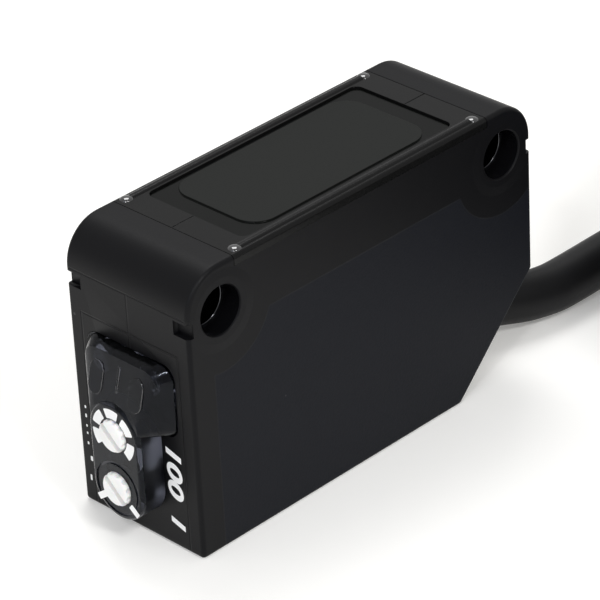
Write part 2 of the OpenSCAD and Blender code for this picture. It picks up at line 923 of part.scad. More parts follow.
case();
front_cover();
window();
front_seal();
optics_block();
emitter_lens();
receiver_lens();
emitter_led();
receiver_photodiode();
receiver_shield();
optics_board();
main_board();
signal_ic();
output_transistors();
chip_parts();
link_pins();
adjuster_board();
indicator_cover();
cover_seal();
sensitivity_knob();
mode_knob();
sensitivity_o_ring();
mode_o_ring();
trimmer_body();
trimmer_rotor();
switch_body();
switch_rotor();
operation_led();
stability_led();
light_guides();
cable_bush();
brown_core();
blue_core();
black_core();
core_strands();
cable_lead();
cable_coil();
coil_tie();
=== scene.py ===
"""Looks of a compact photoelectric sensor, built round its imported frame."""

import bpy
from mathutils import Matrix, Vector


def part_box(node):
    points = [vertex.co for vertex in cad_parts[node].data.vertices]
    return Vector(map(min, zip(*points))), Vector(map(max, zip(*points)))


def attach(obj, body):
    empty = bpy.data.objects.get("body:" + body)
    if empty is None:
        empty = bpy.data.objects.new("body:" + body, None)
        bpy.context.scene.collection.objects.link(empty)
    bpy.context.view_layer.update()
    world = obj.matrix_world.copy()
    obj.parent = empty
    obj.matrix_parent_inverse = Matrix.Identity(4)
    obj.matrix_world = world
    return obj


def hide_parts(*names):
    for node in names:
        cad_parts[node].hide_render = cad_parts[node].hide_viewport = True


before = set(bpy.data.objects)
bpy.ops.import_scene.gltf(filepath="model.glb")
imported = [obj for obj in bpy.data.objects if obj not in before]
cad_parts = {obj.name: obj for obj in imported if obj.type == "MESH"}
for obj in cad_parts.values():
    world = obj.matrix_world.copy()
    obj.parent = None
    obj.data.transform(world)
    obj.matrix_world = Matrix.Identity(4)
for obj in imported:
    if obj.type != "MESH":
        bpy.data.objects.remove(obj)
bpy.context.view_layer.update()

import math

import bmesh
import bpy
from mathutils import Matrix, Vector

bl_info = {
    "name": "Compact photoelectric sensor",
    "version": (1, 0, 0),
    "blender": (4, 5, 0),
    "location": "View3D > Sidebar > Sensor",
    "description": "Finishes the sensor's case, lens face, adjuster end, insides and cable",
    "category": "Object",
}

MM = 0.001
CASE_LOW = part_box("case")[0]
# The adjuster end's own frame in millimetres: u to the right seen from outside, v up, d outwards
END = Matrix.Scale(MM, 4) @ Matrix((
    (0, 0, -1, CASE_LOW.x / MM), (-1, 0, 0, 0), (0, 1, 0, 0), (0, 0, 0, 1),
))
# All sizes below are in millimetres. Knobs: their axes' heights, radii and front, and the boss round them
SENS_V, SENS_R, MODE_V, MODE_R = 7.9, 1.1, 4.0, 1.15
KNOB_FRONT, BOSS_FRONT, BOSS_R = 2.2, 1.9, 2.25
# Lamp head and lamps. The head's front leans back from HEAD_KNEE to HEAD_BROW, both as (v, d)
HEAD_LOW, HEAD_TOP, HEAD_WIDE, LAMP_U, LAMP_V = 8.2, 13.3, 7.7, 1.95, 11.9
HEAD_KNEE, HEAD_BROW = (SENS_V + 1.65, BOSS_FRONT - 0.1), (HEAD_TOP - 0.3, 0.9)
HEAD_LEAN = math.atan2(HEAD_KNEE[1] - HEAD_BROW[1], HEAD_BROW[0] - HEAD_KNEE[0])
# Rise of the lenses and of the rib above the head's front, and the rounding of their edges
LENS_RISE, RIB_RISE, LENS_EDGE = 0.08, 0.06, 0.06
# Clear cover's wells: play round a knob, floor, radius of a stem's hole and of a light guide's
WELL_PLAY, WELL_FLOOR, STEM_HOLE, GUIDE_HOLE = 0.05, 0.2, 0.75, 0.8
# Fine step round the mode knob: inner and outer radius and depth
STEP_IN, STEP_OUT, STEP_DEPTH = 1.72, 1.9, 0.08
# Cross holes, and the sleeves inside them: inner and outer radius and half their length
HOLE_X, HOLE_Z, HOLE_R = 12.7, 16.8, 1.65
SLEEVE_IN, SLEEVE_OUT, SLEEVE_HALF = 1.52, 1.64, 3.8
# Ball ends of the front cover's rails: their places and radius
BALL_X, BALL_Y, BALL_Z, BALL_R = 10.65, 4.75, 19.97, 0.44
# Printed dial: inner and outer radius
DIAL_IN, DIAL_OUT = 1.2, 1.85
# The floor's own light, as a share of its white, to the camera and in reflections
FLOOR_GLOW = 0.22
# The photo's camera: azimuth, elevation and roll in degrees, its lens and its place
CAMERA_TURN, CAMERA_LENS = (-44.1391, 30.6103, -3.0412), 222.546
CAMERA_AT = (-142.9454, -146.4914, 130.8116)


def colour(code):
    """Linear red, green and blue of an sRGB hex colour."""
    parts = [int(code[i:i + 2], 16) / 255 for i in (1, 3, 5)]
    return [p / 12.92 if p <= 0.04045 else ((p + 0.055) / 1.055) ** 2.4 for p in parts]


# -------------------- settings

class SensorFinish(bpy.types.PropertyGroup):
    """Colours of the visible pieces"""
    case: bpy.props.FloatVectorProperty(
        name="Case", description="Black of the moulded case", subtype="COLOR",
        min=0, max=1, default=colour("#0c0c0e"))
    lens_frame: bpy.props.FloatVectorProperty(
        name="Front cover", description="Black of the frame on the lens face", subtype="COLOR",
        min=0, max=1, default=colour("#111111"))
    window: bpy.props.FloatVectorProperty(
        name="Window", description="Dark tint of the window", subtype="COLOR",
        min=0, max=1, default=colour("#131513"))
    knob: bpy.props.FloatVectorProperty(
        name="Knobs", description="White of the two knobs", subtype="COLOR",
        min=0, max=1, default=colour("#f3f3f1"))
    ink: bpy.props.FloatVectorProperty(
        name="Print", description="White of the printed marks", subtype="COLOR",
        min=0, max=1, default=colour("#f7f7f6"))
    jacket: bpy.props.FloatVectorProperty(
        name="Cable jacket", description="Black of the cable", subtype="COLOR",
        min=0, max=1, default=colour("#171718"))


class SensorSizes(bpy.types.PropertyGroup):
    """Sizes of what is added to the frame"""
    edge: bpy.props.FloatProperty(
        name="Moulded edge", description="Rounding of the small pieces' edges",
        subtype="DISTANCE", unit="LENGTH", default=0.06 * MM)
    print_height: bpy.props.FloatProperty(
        name="Print thickness", description="Thickness of the printed marks",
        subtype="DISTANCE", unit="LENGTH", default=0.015 * MM)
    slot_width: bpy.props.FloatProperty(
        name="Slot width", description="Width of the screwdriver slots in the knobs",
        subtype="DISTANCE", unit="LENGTH", default=0.45 * MM)
    cable_length: bpy.props.FloatProperty(
        name="Cable length", description="Whole length of the cable along its middle",
        subtype="DISTANCE", unit="LENGTH", default=2.0)
    cable_diameter: bpy.props.FloatProperty(
        name="Cable diameter", description="Outside diameter of the jacket",
        subtype="DISTANCE", unit="LENGTH", default=3.5 * MM)
    core_diameter: bpy.props.FloatProperty(
        name="Core diameter", description="Outside diameter of one insulated core",
        subtype="DISTANCE", unit="LENGTH", default=1.1 * MM)


class SensorStage(bpy.types.PropertyGroup):
    """Floor and light"""
    floor: bpy.props.FloatVectorProperty(
        name="Floor", description="Colour of the floor", subtype="COLOR",
        min=0, max=1, default=colour("#f4f3f0"))
    sky: bpy.props.FloatProperty(
        name="Room light", description="Strength of the even light from all round",
        min=0, default=0.6)
    overhead: bpy.props.FloatProperty(
        name="Softbox", description="Power of the large lamp above and behind",
        subtype="POWER", unit="POWER", min=0, default=1.1)
    side: bpy.props.FloatProperty(
        name="Side lamp", description="Power of the cool lamp on the left",
        subtype="POWER", unit="POWER", min=0, default=0.3)
    front: bpy.props.FloatProperty(
        name="Front lamp", description="Power of the small lamp beside the camera",
        subtype="POWER", unit="POWER", min=0, default=0.5)
    glint: bpy.props.FloatProperty(
        name="Catch light", description="Power of the very small lamp above the camera",
        subtype="POWER", unit="POWER", min=0, default=0.2)


# -------------------- materials

def add_node(tree, kind, inputs=None, out=0, **settings):
    """Add one shader node with its settings, set or link its inputs, and give the output asked for."""
    node = tree.nodes.new("ShaderNode" + kind)
    for name, value in settings.items():
        setattr(node, name, value)
    for key, value in (inputs or {}).items():
        if isinstance(value, bpy.types.NodeSocket):
            tree.links.new(value, node.inputs[key])
        else:
            node.inputs[key].default_value = value
    return node.outputs[out]


def new_material(name, **constants):
    """Empty material: its tree, its shader with the constant sockets set, and its Object coordinates."""
    material = bpy.data.materials.new(name)
    material.use_nodes = True
    tree = material.node_tree
    shader = tree.nodes["Principled BSDF"]
    for key, value in constants.items():
        shader.inputs[key.replace("_", " ")].default_value = value
    return material, tree, shader, add_node(tree, "TexCoord", out="Object")


def shade(rgb, factor):
    """A colour made lighter or darker, for a node's colour socket."""
    return [*(c * factor for c in rgb), 1]


def link(tree, shader, **outputs):
    """Link outputs to the shader's inputs of those names, with _ for a blank."""
    for name, output in outputs.items():
        tree.links.new(output, shader.inputs[name.replace("_", " ")])


def moulded(name, rgb, grain, depth, roughness, spread=0.08, level=0.4, **constants):
    """Moulded plastic: slow clouds in the shade, and the tool's fine grain (mm) in gloss and height."""
    material, tree, shader, place = new_material(name, Specular_IOR_Level=level, **constants)
    clouds = add_node(tree, "TexNoise", {"Vector": place, "Scale": 1 / (5 * MM), "Detail": 3})
    pits = add_node(tree, "TexNoise", {"Vector": place, "Scale": 1 / (grain * MM), "Detail": 2})
    tone = add_node(tree, "Mix", {
        0: clouds, 6: shade(rgb, 0.85), 7: shade(rgb, 1.15)}, out=2, data_type="RGBA")
    gloss = add_node(tree, "MapRange", {
        "Value": pits, "To Min": roughness - spread, "To Max": roughness + spread})
    bump = add_node(tree, "Bump", {"Height": pits, "Strength": 1, "Distance": depth * MM})
    link(tree, shader, Base_Color=tone, Roughness=gloss, Normal=bump)
    return material


def case_plastic(rgb):
    """Black PBT from an eroded tool: a dull grained area on each side inside a smoother, slightly shinier
    border, and fine parting lines on the adjuster end. The grained area is painted a paler, bluish black: a
    painted sheen."""
    material, tree, shader, place = new_material("pbt_moulded_black_case", Specular_IOR_Level=0.14)
    x, y, z = (add_node(tree, "SeparateXYZ", {0: place}, out=axis) for axis in "XYZ")
    along, across = (add_node(tree, "Math", {0: axis}, operation="ABSOLUTE") for axis in (x, y))

    def mask(*limits):
        """1 where each value is past its second limit in millimetres, falling to 0 at its first."""
        whole = None
        for value, none, full in limits:
            part = add_node(tree, "MapRange", {"Value": value, "From Min": none * MM, "From Max": full * MM})
            if whole is not None:
                part = add_node(tree, "Math", {0: whole, 1: part}, operation="MULTIPLY")
            whole = part
        return whole

    # How far a point lies from the nearer cross hole's axis
    beside, over = (add_node(tree, "Math", {0: value, 1: middle * MM}, operation="SUBTRACT")
                    for value, middle in ((along, HOLE_X), (z, HOLE_Z)))
    offset = add_node(tree, "CombineXYZ", {0: beside, 1: over})
    from_hole = add_node(tree, "VectorMath", {0: offset}, out="Value", operation="LENGTH")
    on_side, on_end, soft = (across, 5.30, 5.36), (x, -15.3, -15.45), 0.04
    grain_field_and_sheen = mask(on_side, (z, 15.35, 15.25), (x, -13.6, -13.5), (from_hole, 4.25, 4.35))
    ring = mask(on_side, (from_hole, 2.8, 2.2))
    # On the adjuster end: two lines where the slides met, and the panel round the clear cover and its inside.
    # Each is a rectangle: its middle's height, half its height and half its width
    shapes = []
    for middle, high, wide in ((15.2, 1.95, 0.04), (17.15, 0.04, 5.1), (6.9, 7.45, 4.3), (6.9, 7.33, 4.18)):
        away = add_node(tree, "Math", {0: z, 1: middle * MM}, operation="SUBTRACT")
        away = add_node(tree, "Math", {0: away}, operation="ABSOLUTE")
        shapes.append(mask(on_end, (away, high + soft, high), (across, wide + soft, wide)))
    line, level, panel, inner = shapes
    rim = add_node(tree, "Math", {0: panel, 1: inner}, operation="SUBTRACT")
    for other in (level, rim):
        line = add_node(tree, "Math", {0: line, 1: other}, operation="MAXIMUM")
    # The eroded grain is really about 0.05 mm; it is drawn at 0.16 mm so that it shows at all
    grain = add_node(tree, "TexNoise", {"Vector": place, "Scale": 1 / (0.16 * MM), "Detail": 3})
    clouds = add_node(tree, "TexNoise", {"Vector": place, "Scale": 1 / (4 * MM), "Detail": 4})
    # Specks of dust, about 3 mm apart
    dust = add_node(tree, "TexVoronoi", {"Vector": place, "Scale": 1 / (3.2 * MM)})
    dust = add_node(tree, "MapRange", {"Value": dust, "From Min": 0.034, "From Max": 0.026})
    rough = add_node(tree, "Mix", {0: grain_field_and_sheen, 2: 0.4, 3: 0.5})
    for part, weight in ((panel, -0.06), (grain, 0.12)):
        rough = add_node(tree, "Math", {0: part, 1: weight, 2: rough}, operation="MULTIPLY_ADD")
    tone = add_node(tree, "Mix", {
        0: clouds, 6: shade(rgb, 0.85), 7: shade(rgb, 1.15)}, out=2, data_type="RGBA")
    # Painted sheen: the grained area on each side is painted a paler, bluish black; the specks of dust are
    # real
    for part, code in ((grain_field_and_sheen, "#111319"), (dust, "#3a3a3c")):
        tone = add_node(tree, "Mix", {0: part, 6: tone, 7: shade(colour(code), 1)}, out=2, data_type="RGBA")
    # Heights in hundredths of a millimetre; the grain is a quarter as deep outside the field
    depth = add_node(tree, "Mix", {0: grain_field_and_sheen, 2: 0.25, 3: 1.0})
    height = add_node(tree, "Math", {0: grain, 1: depth}, operation="MULTIPLY")
    for part, weight in ((grain_field_and_sheen, -1.5), (panel, -1.0), (line, -4.0), (ring, 4.0)):
        height = add_node(tree, "Math", {0: part, 1: weight, 2: height}, operation="MULTIPLY_ADD")
    bump = add_node(tree, "Bump", {"Height": height, "Strength": 1, "Distance": 0.01 * MM})
    link(tree, shader, Base_Color=tone, Roughness=rough, Normal=bump)
    return material


def clear_polycarbonate(name, roughness, ior=1.38, tint=(0.5, 0.53, 0.6, 1)):
    """Polycarbonate from a polished tool: a smoky clear, glossy, with faint flow waves in it."""
    material, tree, shader, place = new_material(name, IOR=ior, Transmission_Weight=1.0, Specular_Tint=tint)
    deep, pale = (shade(colour(code), 1) for code in ("#484b56", "#565862"))
    waves = add_node(tree, "TexNoise", {"Vector": place, "Scale": 1 / (2 * MM), "Detail": 2})
    tone = add_node(tree, "Mix", {0: waves, 6: deep, 7: pale}, out=2, data_type="RGBA")
    gloss = add_node(tree, "MapRange", {"Value": waves, "To Min": 0.8 * roughness, "To Max": 1.2 * roughness})
    bump = add_node(tree, "Bump", {"Height": waves, "Strength": 1, "Distance": 0.01 * MM})
    link(tree, shader, Base_Color=tone, Roughness=gloss, Normal=bump)
    return material


def metal(name, rgb, brush, roughness):
    """Plated metal: full metallic shine with fine drawing marks of the given width in millimetres."""
    material, tree, shader, place = new_material(name, Metallic=1.0)
    stretch = add_node(tree, "Mapping", {"Vector": place, "Scale": (1, 6, 6)})
    marks = add_node(tree, "TexNoise", {"Vector": stretch, "Scale": 1 / (6 * brush * MM), "Detail": 3})
    tone = add_node(tree, "Mix", {0: marks, 6: shade(rgb, 0.82), 7: shade(rgb, 1.0)}, out=2, data_type="RGBA")
    gloss = add_node(tree, "MapRange", {"Value": marks, "To Min": roughness - 0.1, "To Max": roughness + 0.1})
    link(tree, shader, Base_Color=tone, Roughness=gloss)
    return material


def circuit_board(plane):
    """Glass-epoxy board under green solder mask: tracks show as paler lines, tinned pads as dots."""
    material, tree, shader, place = new_material("glass_epoxy_board_" + plane, Specular_IOR_Level=0.5)
    turn = {"xy": (0, 0, 0), "xz": (math.pi / 2, 0, 0), "yz": (0, math.pi / 2, 0)}[plane]
    flat = add_node(tree, "Mapping", {"Vector": place, "Rotation": turn})
    tracks = add_node(tree, "TexBrick", {
        "Vector": flat, "Scale": 1 / MM, "Mortar Size": 0.09, "Mortar Smooth": 0.2,
        "Brick Width": 2.2, "Row Height": 0.7}, out="Fac")
    dots = add_node(tree, "TexVoronoi", {"Vector": flat, "Scale": 1 / (1.9 * MM), "Randomness": 0.5})
    pads = add_node(tree, "MapRange", {"Value": dots, "From Min": 0.16, "From Max": 0.13})
    tone = shade(colour("#0c3a22"), 1)
    for part, code in ((tracks, "#17532f"), (pads, "#b9b7ad")):
        tone = add_node(tree, "Mix", {0: part, 6: tone, 7: shade(colour(code), 1)}, out=2, data_type="RGBA")
    gloss = add_node(tree, "MapRange", {"Value": pads, "To Min": 0.3, "To Max": 0.45})
    height = add_node(tree, "Math", {0: tracks, 1: pads}, operation="ADD")
    bump = add_node(tree, "Bump", {"Height": height, "Strength": 1, "Distance": 0.02 * MM})
    link(tree, shader, Base_Color=tone, Roughness=gloss, Normal=bump, Metallic=pads)
    return material


# -------------------- shaping

def mesh_of(bm, name):
    """Mesh with a bmesh's form."""
    mesh = bpy.data.meshes.new(name)
    bm.to_mesh(mesh)
    bm.free()
    return mesh


def placed(name, data):
    """New object in the scene."""
    thing = bpy.data.objects.new(name, data)
    bpy.context.scene.collection.objects.link(thing)
    return thing


def moved(bm, matrix):
    """A form turned, sized and put in its place."""
    bmesh.ops.transform(bm, matrix=matrix, verts=bm.verts[:])
    return bm


def disc(radius, at, low, high, sides=64):
    """Round slab in the end's frame."""
    bm = bmesh.new()
    bmesh.ops.create_circle(bm, cap_ends=True, segments=sides, radius=radius,
                            matrix=Matrix.Translation((*at, low)))
    return raised(bm, high - low)


def raised(bm, height):
    """Flat outline given its thickness."""
    top = bmesh.ops.extrude_face_region(bm, geom=bm.faces[:])["geom"]
    bmesh.ops.translate(bm, vec=(0, 0, height), verts=[v for v in top if isinstance(v, bmesh.types.BMVert)])
    bmesh.ops.recalc_face_normals(bm, faces=bm.faces[:])
    return bm


def cornered(bm, corners, radius, segments=4):
    """Corners of a flat outline given a round."""
    bmesh.ops.bevel(bm, geom=corners, offset=radius, offset_type="OFFSET", segments=segments, profile=0.5,
                    affect="VERTICES", material=-1)


def plate(length, height, radius, at, low, high, segments=8):
    """Slab with rounded corners in the end's frame."""
    bm = bmesh.new()
    corners = [bm.verts.new((at[0] + x * length / 2, at[1] + y * height / 2, low))
               for x, y in ((-1, -1), (1, -1), (1, 1), (-1, 1))]
    bm.faces.new(corners)
    cornered(bm, corners, radius, segments)
    return raised(bm, high - low)


def stadium(radius, bottom, top, low, high, u=0, sides=64):
    """Slab with two round ends in the end's frame."""
    bm = bmesh.new()
    bmesh.ops.create_circle(bm, cap_ends=True, segments=sides, radius=radius,
                            matrix=Matrix.Translation((u, bottom, low))
                            @ Matrix.Rotation(math.pi / sides, 4, "Z"))
    bmesh.ops.translate(bm, vec=(0, top - bottom, 0), verts=[v for v in bm.verts if v.co.y > bottom])
    return raised(bm, high - low)


def joined(parts):
    """Several bmeshes put into one."""
    whole = bmesh.new()
    for bm in parts:
        mesh = mesh_of(bm, "part")
        whole.from_mesh(mesh)
        bpy.data.meshes.remove(mesh)
    return whole


def rounded(bm, width, angle, segments, above=-math.inf):
    """Edges sharper than the angle and wholly above a height given a small round."""
    edges = [e for e in bm.edges if len(e.link_faces) == 2 and e.calc_face_angle() > math.radians(angle)
             and min(v.co.z for v in e.verts) > above]
    bmesh.ops.bevel(bm, geom=edges, offset=width, offset_type="OFFSET", segments=segments, profile=0.5,
                    affect="EDGES", clamp_overlap=True, material=-1)


def combined(base, tools, operation):
    """Closed forms joined to the base or cut from it."""
    objects = [placed("form", mesh_of(bm, "form")) for bm in (base, *tools)]
    for tool in objects[1:]:
        step = objects[0].modifiers.new("combine", "BOOLEAN")
        step.solver, step.operation, step.object = "EXACT", operation, tool
    bpy.context.view_layer.update()
    result = bmesh.new()
    result.from_object(objects[0], bpy.context.evaluated_depsgraph_get())
    for item in objects:
        mesh = item.data
        bpy.data.objects.remove(item)
        bpy.data.meshes.remove(mesh)
    if not result.faces:
        raise RuntimeError("a combined form came out empty")
    return result


def node_copy(node):
    """Merged copy of a CAD node's mesh, with its flat faces in one piece."""
    bm = bmesh.new()
    bm.from_mesh(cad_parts[node].data)
    bmesh.ops.remove_doubles(bm, verts=bm.verts[:], dist=1e-6)
    bmesh.ops.dissolve_limit(bm, angle_limit=math.radians(0.3), verts=bm.verts[:], edges=bm.edges[:])
    return bm


def piece(name, bm, material, body="housing", stands_for=(), place=None, edge=0.0, crease=32):
    """Finished piece from a bmesh: in place, smooth with true creases, riding its body."""
    if place:
        moved(bm, place)
    mesh = mesh_of(bm, name)
    mesh.materials.append(material)
    mesh.shade_smooth()
    mesh.set_sharp_from_angle(angle=math.radians(crease))
    thing = placed(name, mesh)
    if edge:
        bevel = thing.modifiers.new("edge", "BEVEL")
        bevel.width, bevel.segments, bevel.profile = edge, 2, 0.5
        bevel.limit_method, bevel.angle_limit = "ANGLE", math.radians(crease)
    thing.modifiers.new("normals", "WEIGHTED_NORMAL").keep_sharp = True
    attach(thing, body)
    if stands_for:
        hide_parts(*stands_for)
    return thing


def tube(name, routes, radius, material, stands_for=(), sides=5):
    """Round lead along one or more routes in millimetres, with closed ends."""
    curve = bpy.data.curves.new(name, "CURVE")
    curve.dimensions = "3D"
    curve.bevel_depth, curve.bevel_resolution, curve.use_fill_caps = radius, sides, True
    for route in routes:
        line = curve.splines.new("POLY")
        line.points.add(len(route) - 1)
        for point, co in zip(line.points, route):
            point.co = (*(Vector(co) * MM), 1)
        line.use_smooth = True
    curve.materials.append(material)
    thing = placed(name, curve)
    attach(thing, "housing")
    if stands_for:
        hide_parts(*stands_for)
    return thing


def smooth_through(points, steps):
    """Points on a smooth curve through the given ones."""
    points = [Vector(p) for p in points]
    ends = [2 * points[0] - points[1], *points, 2 * points[-1] - points[-2]]
    out = []
    for a, b, c, d in zip(ends, ends[1:], ends[2:], ends[3:]):
        for t in (k / steps for k in range(steps)):
            out.append(0.5 * (2 * b + (c - a) * t + (2 * a - 5 * b + 4 * c - d) * t ** 2
                              + (3 * b - a - 3 * c + d) * t ** 3))
    return [*out, points[-1]]


# -------------------- cable route, in millimetres

CABLE_R, CORE_R, EXIT_V, LEAD_Y, LEAD_L = 1.75, 0.55, 2.6, -2.1, 31.4
# Where the cut-off corner starts, and the bush in it: radius, how far it stands out, and length
CUT_X, BUSH_R, BUSH_PROUD, BUSH_L = 8.3, 2.17, 0.4, 8.4
# Coil: lowest middle line, distance between turns, mean diameter, layers, steps per turn in the CAD
COIL_LOW, TURN_PITCH, COIL_MEAN, LAYERS, STEPS_PER_TURN = 2.65, 4.0, 42.0, 4, 24
# Loose cores: their pitch, their gap over the turns below, and the run in which they come down to it
CORE_PITCH, CORE_GAP, CORE_FALL = 1.2, 0.15, 14
# Their insulated and stripped lengths, one wire's radius, and the main board's face
CORE_OUT, STRIPPED, WIRE_R, BOARD_Y = 30, 5.3, 0.11, 2.15
BEND_X = CUT_X + EXIT_V + CABLE_R
COIL_X = BEND_X + LEAD_L
BUSH_IN = CUT_X + EXIT_V + BUSH_R + BUSH_PROUD * math.sqrt(2) - BUSH_L
# Steps along the lead: how far on, and what share of its way sideways and down is done
LEAD_BEND = ((1.6, 0.06), (3.2, 0.22), (4.8, 0.5), (6.4, 0.78), (8, 0.94), (9.6, 1), (14, 1))
LEAD = [Vector((x, 0, EXIT_V)) for x in (BUSH_IN, (BUSH_IN + BEND_X) / 2, BEND_X)]
LEAD += [Vector((BEND_X + x, LEAD_Y * f, EXIT_V + (CABLE_R - EXIT_V) * f)) for x, f in LEAD_BEND]
LEAD += [Vector((COIL_X - 12, LEAD_Y, CABLE_R + 0.1))]
LEAD += [Vector((COIL_X - x, LEAD_Y, COIL_LOW)) for x in (7.5, 3.5)]


def ease(x):
    """Smooth step from 0 to 1."""
    f = min(max(x, 0), 1)
    return f * f * (3 - 2 * f)


class Coil:
    """The wound length of the cable: spirals in and out again, and climbs a layer where it turns back."""

    def __init__(self, cable_length):
        route = sum((b - a).length for a, b in zip(LEAD, LEAD[1:]))
        self.turns = (cable_length - route - 2 * CABLE_R) / (math.pi * COIL_MEAN)
        self.per_layer = self.turns / LAYERS
        self.outer = COIL_MEAN / 2 + TURN_PITCH * self.per_layer / 2
        self.inner = COIL_MEAN / 2 - TURN_PITCH * self.per_layer / 2
        self.centre = Vector((COIL_X, LEAD_Y - self.outer, 0))
        self.end = math.floor(self.turns * STEPS_PER_TURN) / STEPS_PER_TURN

    def on_circle(self, radius, degrees, height):
        a = math.radians(degrees)
        return self.centre + Vector((radius * math.cos(a), radius * math.sin(a), height))

    def point(self, t):
        layer = min(math.floor(t / self.per_layer), LAYERS - 1)
        f = t / self.per_layer - layer
        inward = 1 - f if layer % 2 else f
        climbs = sum(ease((t - k * self.per_layer + 0.25) / 0.5) for k in range(1, LAYERS))
        radius = self.outer - (self.outer - self.inner) * inward
        return self.on_circle(radius, 90 - 360 * t, COIL_LOW + TURN_PITCH * climbs)

    def tail(self, k, run_on):
        top = COIL_LOW + (LAYERS - 1) * TURN_PITCH
        rest = COIL_LOW + (LAYERS - 2) * TURN_PITCH + CABLE_R + CORE_R + CORE_GAP
        angle = 90 - 360 * self.end - math.degrees(run_on / self.outer)
        height = top + (rest - top) * ease(run_on / CORE_FALL)
        return self.on_circle(self.outer + k * CORE_PITCH, angle, height)


# -------------------- operators

class SENSOR_OT_stage(bpy.types.Operator):
    """White floor, even light and the camera"""
    bl_idname = "sensor.stage"
    bl_label = "Stage"

    def execute(self, context):
        stage = context.scene.sensor_stage
        # Matt white card: diffuse, with the faintest tooth, shown white to the camera and in reflections
        material, tree, shader, place = new_material(
            "card_matt_white_floor", Specular_IOR_Level=0.2, Roughness=0.9,
            Emission_Color=shade(stage.floor, 1))
        tooth = add_node(tree, "TexNoise", {"Vector": place, "Scale": 1 / (1.5 * MM), "Detail": 3})
        tone = add_node(tree, "Mix", {
            0: tooth, 6: shade(stage.floor, 0.97), 7: shade(stage.floor, 1)}, out=2, data_type="RGBA")
        seen = add_node(tree, "LightPath", out="Is Camera Ray")
        for kind in ("Is Glossy Ray", "Is Transmission Ray"):
            ray = add_node(tree, "LightPath", out=kind)
            seen = add_node(tree, "Math", {0: seen, 1: ray}, operation="MAXIMUM")
        glow = add_node(tree, "Math", {0: seen, 1: FLOOR_GLOW}, operation="MULTIPLY")
        link(tree, shader, Base_Color=tone, Emission_Strength=glow)
        bm = bmesh.new()
        bmesh.ops.create_grid(bm, x_segments=1, y_segments=1, size=3)
        floor = placed("floor", mesh_of(bm, "floor"))
        floor.data.materials.append(material)

        world = bpy.data.worlds.new("room")
        world.use_nodes = True
        tree = world.node_tree
        seen = add_node(tree, "LightPath", out="Is Camera Ray")
        power = add_node(tree, "Mix", {0: seen, 2: stage.sky, 3: 1.0})
        tree.links.new(power, tree.nodes["Background"].inputs["Strength"])
        tree.nodes["Background"].inputs["Color"].default_value = (1, 1, 1, 1)
        context.scene.world = world

        # Square lamps aimed at the sensor: name, power, side, tint and place, in metres
        aim = Vector((0, 0, 0.01))
        for name, power, size, tint, at in (
            ("softbox", stage.overhead, 0.25, "#ffffff", (0.18, 0.22, 0.5)),
            ("side_lamp", stage.side, 0.3, "#dfe8ff", (-0.4, -0.1, 0.25)),
            ("front_lamp", stage.front, 0.08, "#ffffff", (-0.06, -0.27, 0.3)),
            ("catch_light", stage.glint, 0.033, "#ffffff", (-0.257, -0.159, 0.291)),
        ):
            lamp = bpy.data.lights.new(name, "AREA")
            lamp.energy, lamp.size, lamp.color = power, size, colour(tint)
            holder = placed(name, lamp)
            holder.location = at
            holder.rotation_euler = (aim - Vector(at)).to_track_quat("-Z", "Y").to_euler()

        azimuth, elevation, roll = (math.radians(a) for a in CAMERA_TURN)
        back = Vector((math.sin(azimuth) * math.cos(elevation), -math.cos(azimuth) * math.cos(elevation),
                       math.sin(elevation)))
        right = Vector((math.cos(azimuth), math.sin(azimuth), 0))
        up = back.cross(right)
        camera = placed("camera", bpy.data.cameras.new("camera"))
        camera.data.lens, camera.data.sensor_width, camera.data.clip_start = CAMERA_LENS, 36, MM
        camera.matrix_world = Matrix((
            math.cos(roll) * right + math.sin(roll) * up, math.cos(roll) * up - math.sin(roll) * right, back,
        )).transposed().to_4x4()
        camera.location = Vector(CAMERA_AT) * MM
        context.scene.camera = camera
        context.scene.view_settings.view_transform = "Standard"
        return {"FINISHED"}


